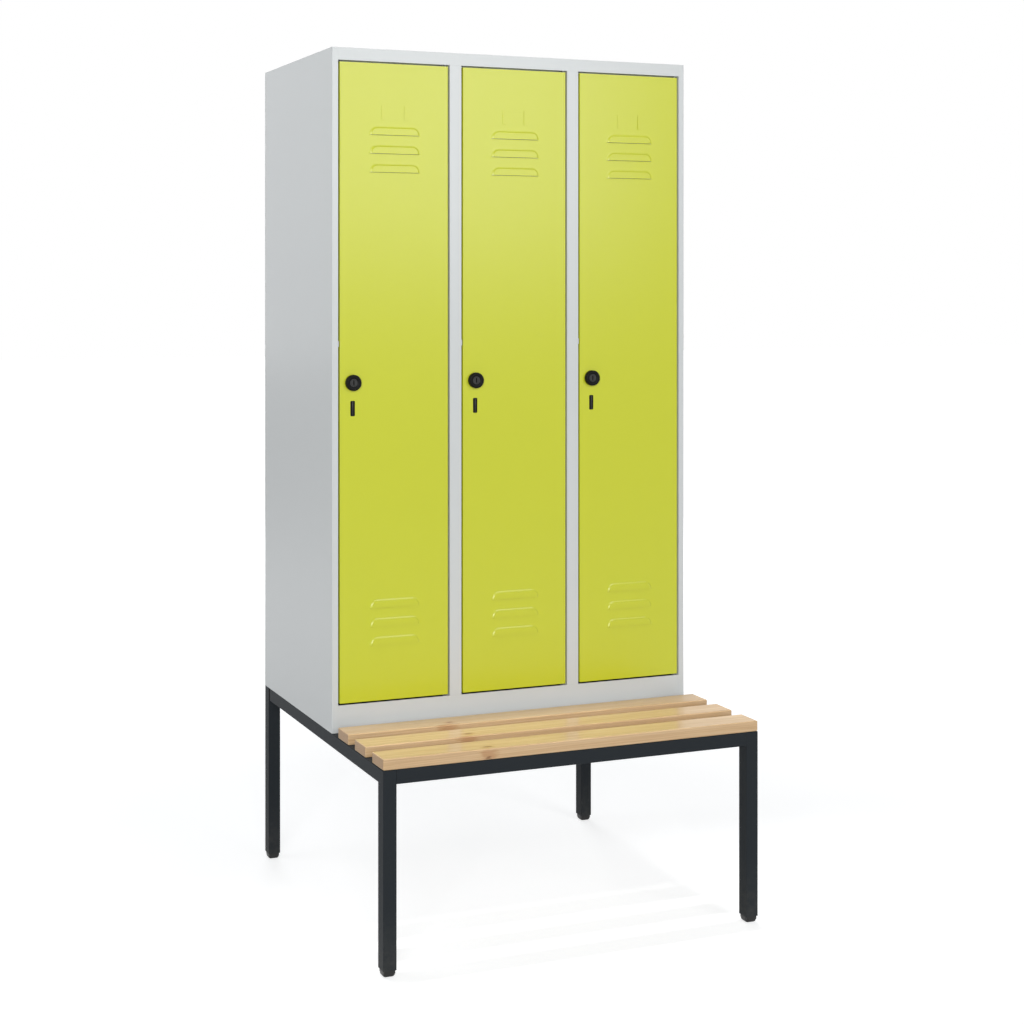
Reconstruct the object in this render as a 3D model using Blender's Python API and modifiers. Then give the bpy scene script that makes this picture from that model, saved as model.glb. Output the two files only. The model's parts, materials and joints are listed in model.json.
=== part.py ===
"""Steel locker with three compartments, standing on a welded bench frame with a slatted seat.

Metres, +Z up. The origin is on the floor, in the middle of the width and of the whole depth. The front looks
along -Y. Every door is hinged at its right edge, seen from the front, and locks at its left edge.
"""

import math

import bmesh
import bpy
from mathutils import Matrix, Vector

# Overall sizes
WIDTH = 0.900
BODY_DEPTH = 0.500
BODY_HEIGHT = 1.530
BENCH_DEPTH = 0.315
FRAME_HEIGHT = 0.427
COMPARTMENTS = ("left", "centre", "right")

# Clearances: between pieces that rest on each other, between welded edges, and round a turning fit
SEAT_GAP = 0.0003
WELD_GAP = 0.0001
PLAY = 0.0004

# Sheet steel of the body and the doors, with the radius inside its rounded bends
SHEET = 0.0008
BEND_INSIDE = 0.0010

# Front of the body
STILE_FACE = 0.0145
MULLION_FACE = 0.029
HEAD_FACE = 0.028
SILL_FACE = 0.061
JAMB_DEPTH = 0.022
STOP_WIDTH = 0.012
RAIL_FLANGE = 0.020
BACK_RETURN = 0.015
ROOF_FLANGE = 0.005
FLOOR_FLANGE = 0.020

# Doors
DOOR_GAP = 0.004
DOOR_DEPTH = 0.018
DOOR_LIP = 0.008
LOCK_SIDE_RELIEF = 0.014
HINGE_SIDE_RELIEF = 0.020
STIFFENER_FOOT = 0.010
STIFFENER_CREST = 0.026
STIFFENER_SLOPE = 0.003
STIFFENER_DEPTH = 0.011
STIFFENER_LENGTH = 0.820

# Hinge pins
PIVOT_INSET = 0.005
PIVOT_DEPTH = 0.006
PIN_RADIUS = 0.0025
PIN_COLLAR_RADIUS = 0.0042
PIN_REACH = 0.010
PIN_HEAD_RADIUS = 0.0045
PIN_HEAD = 0.0015
HINGE_PLATE = 0.0015
HINGE_PLATE_DROP = 0.004

# Louvres
LOUVRE_WIDTH = 0.1235
LOUVRE_HEIGHT = 0.0205
LOUVRE_DEPTH = 0.0042
LOUVRE_SLOPE = 0.0060
LOUVRE_CORNER = 0.0190
LOUVRE_WALL = 0.0007
LOUVRE_SLIT = 0.0002
LOUVRE_PITCH = 0.042
LOUVRES = 3
UPPER_LOUVRE_DROP = 0.1609
LOWER_LOUVRE_RISE = 0.1245

# Label holder
LABEL_WIDTH = 0.064
LABEL_HEIGHT = 0.033
LABEL_DROP = 0.1108
CLIP_WIDTH = 0.009
CLIP_RAISE = 0.0010
CARD_REACH = 0.0065
CARD_MARGIN = 0.0035
CARD_SLOT = 0.0004
CARD_RECESS = 0.0003

# Locks
LOCK_INSET = 0.0306
LOCK_HEIGHT = 0.7155
KNOB_RADIUS = 0.0181
KNOB_HEIGHT = 0.0115
KNOB_ROUND = 0.0030
DISH_RADIUS = 0.0142
DISH_DEPTH = 0.0028
LOCK_BODY_RADIUS = 0.0110
LOCK_BODY_LENGTH = 0.0200
BARREL_HEAD_RADIUS = 0.0090
BARREL_HEAD_LENGTH = 0.0060
BARREL_RADIUS = 0.0060
BARREL_RECESS = 0.0006
KEYHOLE_WIDTH = 0.0026
KEYHOLE_LENGTH = 0.0120
KEYHOLE_DEPTH = 0.0035
CAM_CLEARANCE = 0.0012
CAM_THICKNESS = 0.0025
CAM_WIDTH = 0.014
CAM_REACH = 0.038
CAM_STUD_RADIUS = 0.0035
CAM_NUT_RADIUS = 0.0060
CAM_NUT = 0.0030

# Slot below the lock and its plug
SLOT_DROP = 0.0577
SLOT_WIDTH = 0.0110
SLOT_LENGTH = 0.0345
SLOT_CORNER = 0.0022
PLUG_RECESS = 0.0003
PLUG_RIM = 0.0025
PLUG_FLANGE = 0.0012
PLUG_RIB = 0.0014
PLUG_RIB_DEPTH = 0.0008

# Door buffers
BUFFER_RISE = 0.087
BUFFER_HEIGHT = 0.013
BUFFER_DEPTH = 0.014
BUFFER_RECESS = 0.0008
BUFFER_THICKNESS = 0.0022
BUFFER_ROUND = 0.0007

# Inside of the compartments
SHELF_DROP = 0.230
SHELF_SETBACK = 0.006
SHELF_FRONT_FLANGE = 0.020
SHELF_RETURN = 0.008
SHELF_BACK_FLANGE = 0.012
RAIL_DROP = 0.045
RAIL_RADIUS = 0.007
RAIL_WALL = 0.0012
RAIL_END_RADIUS = 0.013
RAIL_END = 0.0015
HOOKS_APART = 0.110
HOOK_THICKNESS = 0.003
HOOK_METAL = 0.005
HOOK_THROAT = 0.009
HOOK_STEM = 0.022

# Bench
TUBE = 0.030
TUBE_WALL = 0.002
TUBE_ROUND = 0.0010
NECK_WIDTH = 0.010
NECK_DEPTH = 0.0012
FOOT_HEIGHT = 0.014
FOOT_WIDTH = 0.0275
FOOT_PLUG = 0.018
FOOT_CORNER = 0.0065
FOOT_ROUND = 0.0062
SLATS = ("front", "middle", "rear")
SLAT_WIDTH = 0.065
SLAT_THICKNESS = 0.0235
SLAT_ROUND = 0.0025

# Places that follow from the sizes
FRONT_Y = -(BODY_DEPTH + BENCH_DEPTH) / 2
FACE_Y = FRONT_Y + BENCH_DEPTH
BACK_Y = FACE_Y + BODY_DEPTH
STOP_Y = FACE_Y + JAMB_DEPTH
INSIDE_FRONT = STOP_Y + SHEET + SEAT_GAP
INSIDE_BACK = BACK_Y - 2 * (SHEET + SEAT_GAP) - BEND_INSIDE
BODY_BOTTOM = FRAME_HEIGHT + SEAT_GAP
BODY_TOP = BODY_BOTTOM + BODY_HEIGHT
ROOF_SEAT = BODY_TOP - SHEET - SEAT_GAP
SILL_TOP = BODY_BOTTOM + SILL_FACE
HEAD_BOTTOM = BODY_TOP - HEAD_FACE
DOOR_BOTTOM = SILL_TOP + DOOR_GAP
DOOR_HEIGHT = HEAD_BOTTOM - DOOR_GAP - DOOR_BOTTOM
OPENING_WIDTH = (WIDTH - 2 * STILE_FACE - (len(COMPARTMENTS) - 1) * MULLION_FACE) / len(COMPARTMENTS)
PITCH = OPENING_WIDTH + MULLION_FACE
DOOR_WIDTH = OPENING_WIDTH - 2 * DOOR_GAP
SHELF_TOP = BODY_TOP - SHELF_DROP
RAIL_Z = SHELF_TOP - RAIL_DROP
RAIL_Y = (INSIDE_FRONT + INSIDE_BACK) / 2

# Sides of a door seen from its hinge axis, which is the origin of the door's own frame
DOOR_LEFT = PIVOT_INSET - DOOR_WIDTH
DOOR_RIGHT = PIVOT_INSET
DOOR_FACE = -PIVOT_DEPTH
DOOR_REAR = DOOR_FACE + DOOR_DEPTH
DOOR_MIDDLE = (DOOR_LEFT + DOOR_RIGHT) / 2
LOCK_X = DOOR_LEFT + LOCK_INSET
SLOT_Z = LOCK_HEIGHT - SLOT_DROP

# The plane in which a flat outline is drawn: upright and facing the side, or upright and facing the front
FACING_SIDE = Matrix(((0, 0, 1, 0), (1, 0, 0, 0), (0, 1, 0, 0), (0, 0, 0, 1)))
FACING_FRONT = Matrix.Rotation(math.pi / 2, 4, "X")
TINY = 1e-6
MILLIMETRE = 0.001

# How far a cutter passes beyond the sheet that it cuts
THROUGH = 0.004


def new_collection(name):
    made = bpy.data.collections.new(name)
    bpy.context.scene.collection.children.link(made)
    return made


for leftover in list(bpy.data.objects):
    bpy.data.objects.remove(leftover, do_unlink=True)
PARTS = new_collection("locker_with_bench")
TOOLS = new_collection("cutters")


def new_material(name, colour, roughness, metallic=0.0):
    material = bpy.data.materials.new(name)
    material.use_nodes = True
    shader = material.node_tree.nodes["Principled BSDF"]
    shader.inputs["Base Color"].default_value = (*colour, 1.0)
    shader.inputs["Roughness"].default_value = roughness
    shader.inputs["Metallic"].default_value = metallic
    return material


GREY_PAINT = new_material("grey_paint", (0.62, 0.63, 0.63), 0.42)
GREEN_PAINT = new_material("green_paint", (0.60, 0.66, 0.06), 0.38)
DARK_PAINT = new_material("dark_paint", (0.035, 0.040, 0.045), 0.45)
BEECH = new_material("lacquered_beech", (0.62, 0.42, 0.23), 0.30)
BLACK_PLASTIC = new_material("black_plastic", (0.015, 0.014, 0.013), 0.40)
GREY_PLASTIC = new_material("grey_plastic", (0.55, 0.56, 0.55), 0.55)
ZINC = new_material("zinc_plated_steel", (0.60, 0.60, 0.58), 0.30, 1.0)


def mesh_from(shape, name):
    """Turns a finished bmesh into a mesh and frees it."""
    mesh = bpy.data.meshes.new(name)
    shape.to_mesh(mesh)
    shape.free()
    return mesh


def ends(edge):
    return edge.verts[0].co, edge.verts[1].co


def runs_along(first, second, axis):
    """True when the line between two points is parallel to the axis."""
    return (second - first).normalized()[axis] ** 2 > 0.999


def rounded_edges(mesh, wanted, width, segments):
    """Rounds the edges that a test picks by their two ends."""
    shape = bmesh.new()
    shape.from_mesh(mesh)
    picked = [edge for edge in shape.edges if wanted(*ends(edge))]
    bmesh.ops.bevel(shape, geom=picked, offset=width, segments=segments, profile=0.5, affect="EDGES")
    shape.to_mesh(mesh)
    shape.free()
    return mesh


def box(shape, low, high):
    """Adds a box between two opposite corners to the shape."""
    low = Vector(low)
    high = Vector(high)
    made = bmesh.ops.create_cube(shape, size=1.0)["verts"]
    bmesh.ops.scale(shape, vec=high - low, verts=made)
    bmesh.ops.translate(shape, vec=(low + high) / 2, verts=made)


def box_mesh(name, *corner_pairs):
    """Mesh of one box or several separate boxes, each given by two opposite corners."""
    shape = bmesh.new()
    for low, high in corner_pairs:
        box(shape, low, high)
    return mesh_from(shape, name)


def evaluated_mesh(obj):
    """A plain mesh of the object with its modifiers applied. The object and its cutters are removed."""
    bpy.context.view_layer.update()
    graph = bpy.context.evaluated_depsgraph_get()
    mesh = bpy.data.meshes.new_from_object(obj.evaluated_get(graph))
    used = [m.object for m in obj.modifiers if m.type == "BOOLEAN"]
    for tool in [obj, *used]:
        bpy.data.objects.remove(tool, do_unlink=True)
    return mesh


def welded(mesh, merge_flat):
    """Joins the loose caps of a curve's mesh to its sides. It can merge flat faces that have no hole."""
    shape = bmesh.new()
    shape.from_mesh(mesh)
    bmesh.ops.remove_doubles(shape, verts=shape.verts, dist=TINY)
    if merge_flat:
        bmesh.ops.dissolve_limit(shape, angle_limit=math.radians(0.5), verts=shape.verts, edges=shape.edges)
    shape.to_mesh(mesh)
    shape.free()
    return mesh


def arc(centre, radius, start, stop, steps):
    """Points along an arc, with its angles in degrees."""
    turns = [math.radians(start + (stop - start) * i / steps) for i in range(steps + 1)]
    return [(centre[0] + radius * math.cos(t), centre[1] + radius * math.sin(t)) for t in turns]


def circle(radius, steps):
    return arc((0.0, 0.0), radius, 0.0, 360.0, steps)[:-1]


def obround(width, length):
    """Upright outline with round ends."""
    radius = width / 2
    reach = length / 2 - radius
    return arc((0.0, reach), radius, 0.0, 180.0, 4) + arc((0.0, -reach), radius, 180.0, 360.0, 4)


def slot_outline(grown):
    """Outline of the slot below the lock, or one that lies all round it by the grown distance."""
    radius = SLOT_CORNER + grown
    u = SLOT_WIDTH / 2 - SLOT_CORNER
    v = SLOT_LENGTH / 2 - SLOT_CORNER
    corners = (((u, v), 0.0), ((-u, v), 90.0), ((-u, -v), 180.0), ((u, -v), 270.0))
    return [point for centre, start in corners for point in arc(centre, radius, start, start + 90.0, 3)]


def plate(name, outline, thickness, *holes):
    """Flat plate of an outline with holes, lying in the XY plane with its middle at height zero.

    It is drawn in millimetres, because the fill of a small curve joins points that lie close together.
    """
    curve = bpy.data.curves.new(name, "CURVE")
    curve.dimensions = "2D"
    curve.fill_mode = "BOTH"
    curve.extrude = thickness / 2 / MILLIMETRE
    for loop in (outline, *holes):
        spline = curve.splines.new("POLY")
        spline.points.add(len(loop) - 1)
        for point, (u, v) in zip(spline.points, loop):
            point.co = (u / MILLIMETRE, v / MILLIMETRE, 0.0, 1.0)
        spline.use_cyclic_u = True
    drawn = bpy.data.objects.new(name, curve)
    TOOLS.objects.link(drawn)
    mesh = moved(evaluated_mesh(drawn), Matrix.Scale(MILLIMETRE, 4))
    mesh = welded(mesh, merge_flat=not holes)
    mesh.name = name
    return mesh


def turned(name, profile, steps, closed=False):
    """Mesh turned about Z from points of radius and height, which run down its outer side."""
    shape = bmesh.new()
    points = [shape.verts.new((radius, 0.0, height)) for radius, height in profile]
    for pair in zip(points, points[1:]):
        shape.edges.new(pair)
    if closed:
        shape.edges.new((points[-1], points[0]))
    blank = bpy.data.objects.new(name, mesh_from(shape, name))
    TOOLS.objects.link(blank)
    screw = blank.modifiers.new("turned", "SCREW")
    screw.axis = "Z"
    screw.angle = math.tau
    screw.steps = steps
    screw.render_steps = steps
    screw.use_merge_vertices = True
    screw.merge_threshold = 1e-5
    return evaluated_mesh(blank)


def moved(mesh, matrix):
    """The mesh after a move or a turn."""
    mesh.transform(matrix)
    return mesh


def joined(name, meshes):
    """One mesh that holds several separate bodies."""
    shape = bmesh.new()
    for mesh in meshes:
        shape.from_mesh(mesh)
    return mesh_from(shape, name)


def folded_sheet(name, profile, axis, start, stop, sharp=()):
    """Folded sheet: an open profile of (x, y), (y, z) or (x, z) points, run along the third axis.

    The metal lies on the left of the profile as it is drawn, so its points are on the outer faces.
    Its folds are rounded, except at the profile points that are listed as sharp.
    """
    across = {"X": (1, 2), "Y": (0, 2), "Z": (0, 1)}[axis]
    along = "XYZ".index(axis)

    def place(u, v, w):
        point = Vector((0.0, 0.0, 0.0))
        point[across[0]] = u
        point[across[1]] = v
        point[along] = w
        return point

    shape = bmesh.new()
    corners = [shape.verts.new(place(u, v, start)) for u, v in profile]
    sides = [shape.edges.new(pair) for pair in zip(corners, corners[1:])]
    run = bmesh.ops.extrude_edge_only(shape, edges=sides)["geom"]
    swept = [item for item in run if isinstance(item, bmesh.types.BMVert)]
    bmesh.ops.translate(shape, vec=place(0.0, 0.0, stop - start), verts=swept)
    bmesh.ops.recalc_face_normals(shape, faces=shape.faces)
    (u0, v0), (u1, v1) = profile[0], profile[1]
    first = sides[0].link_faces[0]
    first.normal_update()
    if first.normal.dot(place(v0 - v1, u1 - u0, 0.0)) < 0:
        bmesh.ops.reverse_faces(shape, faces=shape.faces)
    rounded = [corner for i, corner in enumerate(corners[1:-1], 1) if i not in sharp]
    folds = [edge for corner in rounded for edge in corner.link_edges if runs_along(*ends(edge), along)]
    bmesh.ops.bevel(shape, geom=folds, offset=SHEET + BEND_INSIDE, segments=2, profile=0.5, affect="EDGES")
    sheet = bpy.data.objects.new(name, mesh_from(shape, name))
    TOOLS.objects.link(sheet)
    wall = sheet.modifiers.new("wall", "SOLIDIFY")
    wall.thickness = SHEET
    wall.offset = 1.0
    wall.use_even_offset = True
    return evaluated_mesh(sheet)


def changed(mesh, tool, operation):
    """The mesh after a tool's mesh is joined to it or cut from it."""
    blank = bpy.data.objects.new(mesh.name, mesh)
    TOOLS.objects.link(blank)
    cutter = bpy.data.objects.new(f"{mesh.name}_tool", tool)
    TOOLS.objects.link(cutter)
    boolean = blank.modifiers.new(operation.lower(), "BOOLEAN")
    boolean.operation = operation
    boolean.solver = "EXACT"
    boolean.object = cutter
    return evaluated_mesh(blank)


def cut(mesh, tool):
    return changed(mesh, tool, "DIFFERENCE")


def fused(mesh, tool):
    return changed(mesh, tool, "UNION")


def bore_tool(reach, place):
    """Upright cutter for a hinge pin's hole, which reaches as far above the place as below it."""
    radius = PIN_RADIUS + SEAT_GAP
    profile = [(0.0, reach), (radius, reach), (radius, -reach), (0.0, -reach)]
    return moved(turned("bore", profile, 16), Matrix.Translation(place))


def part(name, mesh, material, parent=None, location=(0.0, 0.0, 0.0), rotation=(0.0, 0.0, 0.0)):
    """One piece of the locker, smooth where its faces meet at a shallow angle."""
    obj = bpy.data.objects.new(name, mesh)
    obj.parent = parent
    obj.location = location
    obj.rotation_euler = rotation
    if not mesh.materials:
        mesh.materials.append(material)
    mesh.shade_smooth()
    mesh.set_sharp_from_angle(angle=math.radians(35))
    PARTS.objects.link(obj)
    return obj


def axis_empty(name, parent, location):
    """Empty on a joint's axis that carries the pieces which move with it."""
    empty = bpy.data.objects.new(name, None)
    empty.empty_display_size = 0.05
    empty.parent = parent
    empty.location = location
    PARTS.objects.link(empty)
    return empty


# Bench frame


def side_frame_outline(inset):
    """Side frame seen from the side: two legs under a rail. An inset draws the hollow in its tube."""
    foot = FOOT_HEIGHT if inset == 0 else 0.0
    front = FRONT_Y + inset
    back = BACK_Y - inset
    top = FRAME_HEIGHT - inset
    tube = TUBE - 2 * inset
    return [
        (front, foot),
        (front + tube, foot),
        (front + tube, top - tube),
        (back - tube, top - tube),
        (back - tube, foot),
        (back, foot),
        (back, top),
        (front, top),
    ]


def neck_tool():
    """Cutter for the shallow neck round the rail's end, which takes the sleeve in front of the rear leg."""
    rear = BACK_Y - TUBE
    middle = FRAME_HEIGHT - TUBE / 2
    wide = TUBE / 2 + THROUGH
    slab = ((-wide, rear - NECK_WIDTH, middle - wide), (wide, rear, middle + wide))
    slim = TUBE / 2 - NECK_DEPTH
    core = ((-slim, rear - 2 * NECK_WIDTH, middle - slim), (slim, rear + NECK_WIDTH, middle + slim))
    return cut(box_mesh("neck", slab), box_mesh("core", core))


def build_side_frames():
    """Two welded frames of square tube, each with its legs open at the bottom for the feet."""

    def is_tube_edge(a, b):
        at_foot = max(a.z, b.z) < FOOT_HEIGHT + TINY
        return not runs_along(a, b, 0) and not at_foot

    outer = moved(plate("side_frame", side_frame_outline(0.0), TUBE), FACING_SIDE)
    outer = rounded_edges(outer, is_tube_edge, TUBE_ROUND, 2)
    hollow = moved(plate("hollow", side_frame_outline(TUBE_WALL), TUBE - 2 * TUBE_WALL), FACING_SIDE)
    mesh = cut(cut(outer, hollow), neck_tool())
    reach = (WIDTH - TUBE) / 2
    part("side_frame_left", mesh, DARK_PAINT, location=(-reach, 0.0, 0.0))
    part("side_frame_right", mesh, DARK_PAINT, location=(reach, 0.0, 0.0))


def build_cross_rails():
    """Three tubes between the side frames, under the front slat, the body's front and the body's back."""
    half = WIDTH / 2 - TUBE - WELD_GAP
    outer = box_mesh("cross_rail", ((-half, -TUBE / 2, -TUBE / 2), (half, TUBE / 2, TUBE / 2)))
    outer = rounded_edges(outer, lambda a, b: runs_along(a, b, 0), TUBE_ROUND, 2)
    inner = TUBE / 2 - TUBE_WALL
    hollow = box_mesh("hollow", ((-WIDTH, -inner, -inner), (WIDTH, inner, inner)))
    mesh = cut(outer, hollow)
    middles = {"front": FRONT_Y + TUBE / 2, "middle": FACE_Y + TUBE / 2, "rear": BACK_Y - TUBE / 2}
    for name, y in middles.items():
        part(f"cross_rail_{name}", mesh, DARK_PAINT, location=(0.0, y, FRAME_HEIGHT - TUBE / 2))


def build_feet():
    """Four glides with a plug that fills the end of the leg's tube."""
    half = FOOT_WIDTH / 2
    top = FOOT_HEIGHT - SEAT_GAP
    body = box_mesh("foot", ((-half, -half, 0.0), (half, half, top)))
    body = rounded_edges(body, lambda a, b: runs_along(a, b, 2), FOOT_CORNER, 3)
    body = rounded_edges(body, lambda a, b: max(a.z, b.z) < TINY, FOOT_ROUND, 3)
    plug = TUBE / 2 - TUBE_WALL - SEAT_GAP
    stem = box_mesh("stem", ((-plug, -plug, top / 2), (plug, plug, top + FOOT_PLUG)))
    mesh = fused(body, stem)
    for side, x in (("left", -1), ("right", 1)):
        for end, y in (("front", FRONT_Y + TUBE / 2), ("rear", BACK_Y - TUBE / 2)):
            part(f"foot_{end}_{side}", mesh, BLACK_PLASTIC, location=(x * (WIDTH - TUBE) / 2, y, 0.0))


def build_slats():
    """Seat slats, as long as the frame is wide. The space behind each one is the same."""
    pitch = BENCH_DEPTH / len(SLATS)
    mesh = box_mesh("slat", ((-WIDTH / 2, 0.0, 0.0), (WIDTH / 2, SLAT_WIDTH, SLAT_THICKNESS)))
    mesh = rounded_edges(mesh, lambda a, b: True, SLAT_ROUND, 3)
    for i, name in enumerate(SLATS):
        part(f"slat_{name}", mesh, BEECH, location=(0.0, FRONT_Y + i * pitch, FRAME_HEIGHT + SEAT_GAP))


# Body


def mullion_x(i):
    """Middle of the post to the right of compartment i."""
    return -WIDTH / 2 + STILE_FACE + (i + 1) * OPENING_WIDTH + (i + 0.5) * MULLION_FACE


def jamb_x(i):
    """Left side of the door opening of compartment i."""
    return -WIDTH / 2 + STILE_FACE + i * PITCH


def inner_walls(i):
    """Left and right wall faces inside compartment i."""
    last = len(COMPARTMENTS) - 1
    left = -WIDTH / 2 + SHEET if i == 0 else mullion_x(i - 1) + SHEET / 2
    right = WIDTH / 2 - SHEET if i == last else mullion_x(i) - SHEET / 2
    return left, right


def build_side_panels():
    """Side sheets, folded at the front into stile, jamb and door stop, and at the back into a flange."""
    edge = WIDTH / 2
    back = BACK_Y - SHEET - SEAT_GAP
    stop_end = edge - STILE_FACE - STOP_WIDTH
    outline = [
        (edge - BACK_RETURN, back),
        (edge, back),
        (edge, FACE_Y),
        (edge - STILE_FACE, FACE_Y),
        (edge - STILE_FACE, STOP_Y),
        (stop_end, STOP_Y),
    ]
    left = [(-x, y) for x, y in outline]
    right = outline[::-1]
    for side, profile, sign, sharp in (("left", left, -1, (3, 4)), ("right", right, 1, (1, 2))):
        mesh = folded_sheet(f"side_panel_{side}", profile, "Z", BODY_BOTTOM, BODY_TOP, sharp)
        span = sorted((sign * (stop_end - THROUGH), sign * (edge - SHEET - SEAT_GAP)))
        room = (
            (span[0], FACE_Y + SHEET + SEAT_GAP / 2, ROOF_SEAT - SHEET - SEAT_GAP),
            (span[1], STOP_Y + THROUGH, BODY_TOP + THROUGH),
        )
        part(f"side_panel_{side}", cut(mesh, box_mesh("roof_room", room)), GREY_PAINT)


def build_partitions():
    """Inner walls. Each carries a hollow front post with a door stop on both sides."""
    half = MULLION_FACE / 2
    hollow = half - SHEET
    stop = half + STOP_WIDTH
    wall = SHEET / 2
    back = BACK_Y - SHEET - SEAT_GAP
    low = SILL_TOP + WELD_GAP
    high = HEAD_BOTTOM - WELD_GAP
    mesh = box_mesh("partition", ((-half, FACE_Y, low), (half, STOP_Y + SHEET / 2, high)))
    mesh = fused(mesh, box_mesh("stops", ((-stop, STOP_Y, low), (stop, STOP_Y + SHEET, high))))
    inside = ((-hollow, FACE_Y + SHEET, low - THROUGH), (hollow, STOP_Y - WELD_GAP, high + THROUGH))
    mesh = cut(mesh, box_mesh("hollow", inside))
    sheet = ((-wall, STOP_Y + SHEET / 2, low + WELD_GAP), (wall, back, ROOF_SEAT))
    mesh = fused(mesh, box_mesh("sheet", sheet))
    flange = ((-wall / 2, back - SHEET, low + SHEET), (BACK_RETURN, back - WELD_GAP, high))
    mesh = fused(mesh, box_mesh("flange", flange))
    for i in range(len(COMPARTMENTS) - 1):
        part(f"partition_{i + 1}", mesh, GREY_PAINT, location=(mullion_x(i), 0.0, 0.0))


def stop_notches(low, high):
    """Boxes that clear a rail's own stop from the stops of the stiles and posts."""
    front = STOP_Y - SEAT_GAP
    back = STOP_Y + THROUGH
    edge = WIDTH / 2 - STILE_FACE
    reach = STOP_WIDTH + SEAT_GAP
    pairs = [(-edge - reach, -edge + reach), (edge - reach, edge + reach)]
    for i in range(len(COMPARTMENTS) - 1):
        half = MULLION_FACE / 2 + reach
        pairs.append((mullion_x(i) - half, mullion_x(i) + half))
    return box_mesh("notches", *(((a, front, low), (b, back, high)) for a, b in pairs))


def pin_holes(z):
    """Round holes for the hinge pins in a rail's jamb at this height."""
    return joined("pin_holes", [bore_tool(THROUGH, (*pivot_xy(i), z)) for i in range(len(COMPARTMENTS))])


def pivot_xy(i):
    """Hinge axis of door i, seen from above."""
    return jamb_x(i) + OPENING_WIDTH - DOOR_GAP - PIVOT_INSET, FACE_Y + PIVOT_DEPTH


def build_front_rails():
    """Head rail above the doors and sill rail below them, fitted between the stiles."""
    half = WIDTH / 2 - STILE_FACE - WELD_GAP
    flange = FACE_Y + RAIL_FLANGE
    head = [
        (flange, BODY_TOP),
        (FACE_Y, BODY_TOP),
        (FACE_Y, HEAD_BOTTOM),
        (STOP_Y, HEAD_BOTTOM),
        (STOP_Y, HEAD_BOTTOM - STOP_WIDTH),
    ]
    mesh = folded_sheet("head_rail", head, "X", -half, half, sharp=(1, 2, 3))
    mesh = cut(mesh, stop_notches(HEAD_BOTTOM - STOP_WIDTH - THROUGH, HEAD_BOTTOM + THROUGH))
    part("head_rail", cut(mesh, pin_holes(HEAD_BOTTOM)), GREY_PAINT)
    sill = [
        (STOP_Y, SILL_TOP + STOP_WIDTH),
        (STOP_Y, SILL_TOP),
        (FACE_Y, SILL_TOP),
        (FACE_Y, BODY_BOTTOM),
        (flange, BODY_BOTTOM),
    ]
    mesh = folded_sheet("sill_rail", sill, "X", -half, half, sharp=(1, 2, 3))
    mesh = cut(mesh, stop_notches(SILL_TOP - THROUGH, SILL_TOP + STOP_WIDTH + THROUGH))
    part("sill_rail", cut(mesh, pin_holes(SILL_TOP)), GREY_PAINT)


def build_panels():
    """Roof and floor between the side sheets, and the back sheet over their rear flanges.

    Roof and floor have a tongue between those flanges that closes the space up to the back sheet. The roof
    lies level with the head rail's flange, and a lip at its front is stepped down under that flange.
    """
    half = WIDTH / 2 - SHEET - SEAT_GAP
    edge = WIDTH / 2
    reach = edge - BACK_RETURN - SEAT_GAP
    back = BACK_Y - SHEET - SEAT_GAP
    margin = SHEET / 4
    step = FACE_Y + RAIL_FLANGE + SEAT_GAP
    sheets = {}
    kinds = (
        ("roof_panel", BODY_TOP, ROOF_FLANGE, step),
        ("floor_panel", SILL_TOP, FLOOR_FLANGE, INSIDE_FRONT),
    )
    for name, top, flange, start in kinds:
        profile = [(half, top - flange), (half, top), (-half, top), (-half, top - flange)]
        mesh = folded_sheet(name, profile, "Y", start, INSIDE_BACK)
        tongue = ((-reach, INSIDE_BACK - SHEET, top - SHEET + margin), (reach, back, top - margin))
        sheets[name] = fused(mesh, box_mesh("tongue", tongue))
    side = half - SHEET / 2
    inner = side - margin
    front = FACE_Y + SHEET + BEND_INSIDE + SEAT_GAP
    web = step + margin
    low = ROOF_SEAT - SHEET
    lip = box_mesh("lip", ((-side, front, low), (side, web + SHEET / 2, ROOF_SEAT)))
    riser = box_mesh("riser", ((-inner, web, low + margin), (inner, web + SHEET, BODY_TOP - margin)))
    part("roof_panel", fused(sheets["roof_panel"], fused(lip, riser)), GREY_PAINT)
    part("floor_panel", sheets["floor_panel"], GREY_PAINT)
    back = box_mesh("back_panel", ((-edge, BACK_Y - SHEET, BODY_BOTTOM), (edge, BACK_Y, BODY_TOP)))
    part("back_panel", back, GREY_PAINT)


# Inside of the compartments


def build_shelf(i, name):
    """Hat shelf across the compartment, with its front edge folded back under itself."""
    left, right = inner_walls(i)
    front = INSIDE_FRONT + SHELF_SETBACK
    profile = [
        (INSIDE_BACK, SHELF_TOP - SHELF_BACK_FLANGE),
        (INSIDE_BACK, SHELF_TOP),
        (front, SHELF_TOP),
        (front, SHELF_TOP - SHELF_FRONT_FLANGE),
        (front + SHELF_RETURN, SHELF_TOP - SHELF_FRONT_FLANGE),
    ]
    mesh = folded_sheet(f"hat_shelf_{name}", profile, "X", left + SEAT_GAP, right - SEAT_GAP)
    part(f"hat_shelf_{name}", mesh, GREY_PAINT)


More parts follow.
